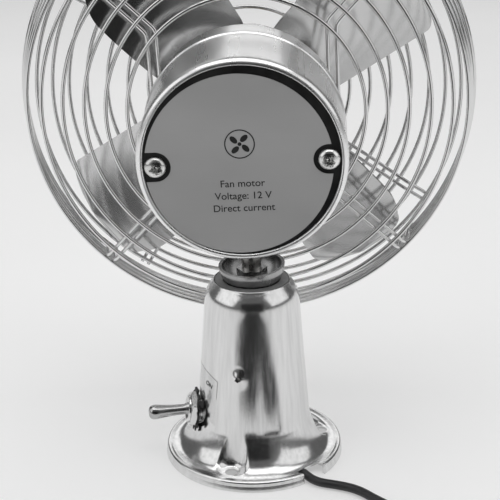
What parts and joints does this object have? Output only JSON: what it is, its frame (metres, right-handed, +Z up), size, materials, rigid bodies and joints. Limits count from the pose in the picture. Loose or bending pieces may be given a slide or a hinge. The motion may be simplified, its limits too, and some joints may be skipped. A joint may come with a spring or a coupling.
{
  "type": "desk fan",
  "caption": "Chromed 12 V desk fan: wire-guarded propeller and motor can on a swivelling, tilting ball-type joint over a flared pedestal with a toggle switch and a corded plug.",
  "frame": {"origin": "centre of the pedestal's foot and of its three screw holes, on the surface that it stands on", "axes": "+Z up; -Y is the way the fan blows; +X is the toggle switch's side"},
  "size_m": [0.2009, 0.212, 0.2415],
  "materials": {
    "chrome": "bright plated",
    "chrome_wire": "bright plated wire",
    "can_chrome": "bright plated, faintly scuffed",
    "blade_metal": "bright, lightly brushed",
    "label_metal": "brushed, clear lacquer",
    "badge_metal": "bright plated",
    "black_cover": "satin black board",
    "zinc_steel": "zinc plated",
    "dark_steel": "dull plated",
    "gray_plate": "dull gray",
    "ferrite": "ceramic magnet",
    "lamination": "stacked steel sheet",
    "copper": "enamelled copper wire",
    "bronze": "sintered bronze",
    "brass": "bare",
    "carbon": "pressed graphite",
    "phenolic": "brown board",
    "black_plastic": "moulded black",
    "cord_rubber": "matt black sheath",
    "lead_insulation": "thin black insulation",
    "fuse_glass": "clear tube",
    "tie_plastic": "coated wire tie"
  },
  "bodies": {
    "base": {"pedestal_shell": "chrome", "swivel_seat": "zinc_steel", "switch_body": "black_plastic", "switch_bushing": "chrome", "switch_lock_washer": "dark_steel", "switch_nut": "chrome", "switch_terminals": "brass", "cable_clamp": "zinc_steel", "clamp_screw": "zinc_steel", "cord_tail": "cord_rubber", "lower_leads": "lead_insulation", "power_cord": "cord_rubber", "cord_coil": "cord_rubber", "cord_tie": "tie_plastic", "plug_strain_relief": "cord_rubber", "plug_body": "black_plastic", "plug_side_contacts": "zinc_steel", "plug_nose": "black_plastic", "plug_fuse": "fuse_glass", "plug_tip_spring": "zinc_steel"},
    "swivel": {"swivel_ring": "gray_plate"},
    "head": {"swivel_cup": "chrome", "hollow_stud": "zinc_steel", "stud_flange_nut": "chrome", "stud_lock_nut": "zinc_steel", "pressure_bowl": "zinc_steel", "swivel_spring": "zinc_steel", "spring_nut": "zinc_steel", "upper_leads": "lead_insulation", "can_rear_shell": "can_chrome", "can_front_shell": "can_chrome", "rear_cover": "black_cover", "label_plate": "label_metal", "motor_bolts": "zinc_steel", "bolt_nuts": "zinc_steel", "motor_case": "zinc_steel", "motor_end_plates": "zinc_steel", "magnets": "ferrite", "motor_bushes": "bronze", "brush_holder": "phenolic", "brushes": "carbon", "rear_guard_rings": "chrome_wire", "side_guard_rings": "chrome_wire", "rear_rim_ring": "chrome_wire", "front_rim_ring": "chrome_wire", "front_guard_rings": "chrome_wire", "rear_ribs": "chrome_wire", "front_ribs": "chrome_wire", "guard_clips": "chrome_wire", "front_badge": "badge_metal"},
    "rotor": {"rotor_shaft": "dark_steel", "commutator": "copper", "armature_core": "lamination", "armature_windings": "copper", "propeller": "blade_metal", "propeller_hub": "brass", "hub_set_screw": "dark_steel"},
    "toggle": {"toggle_lever": "chrome"},
    "plug_pin": {"plug_tip": "brass"}
  },
  "joints": [
    {"name": "head_swivel", "type": "hinge", "parent": "base", "child": "swivel", "pos_m": [0, 0, 0.086], "axis": [0, 0, 1], "range_deg": [-150, 150]},
    {"name": "head_tilt", "type": "hinge", "parent": "swivel", "child": "head", "pos_m": [0, 0, 0.086], "axis": [0.9992, -0.0401, 0], "range_deg": [-9, 16]},
    {"name": "fan_spin", "type": "hinge", "parent": "head", "child": "rotor", "pos_m": [0.00235, 0.00336, 0.13663], "axis": [0.04, 0.9969, -0.068], "continuous": true},
    {"name": "toggle_throw", "type": "hinge", "parent": "base", "child": "toggle", "pos_m": [0.02715, 0.00479, 0.02134], "axis": [-0.1736, 0.9848, 0], "range_deg": [-18, 0]},
    {"name": "plug_tip_slide", "type": "slide", "parent": "base", "child": "plug_pin", "axis": [1, 0, 0], "range_m": [-0.003, 0], "stiffness_N_per_m": 400, "springref_m": 0.002}
  ]
}
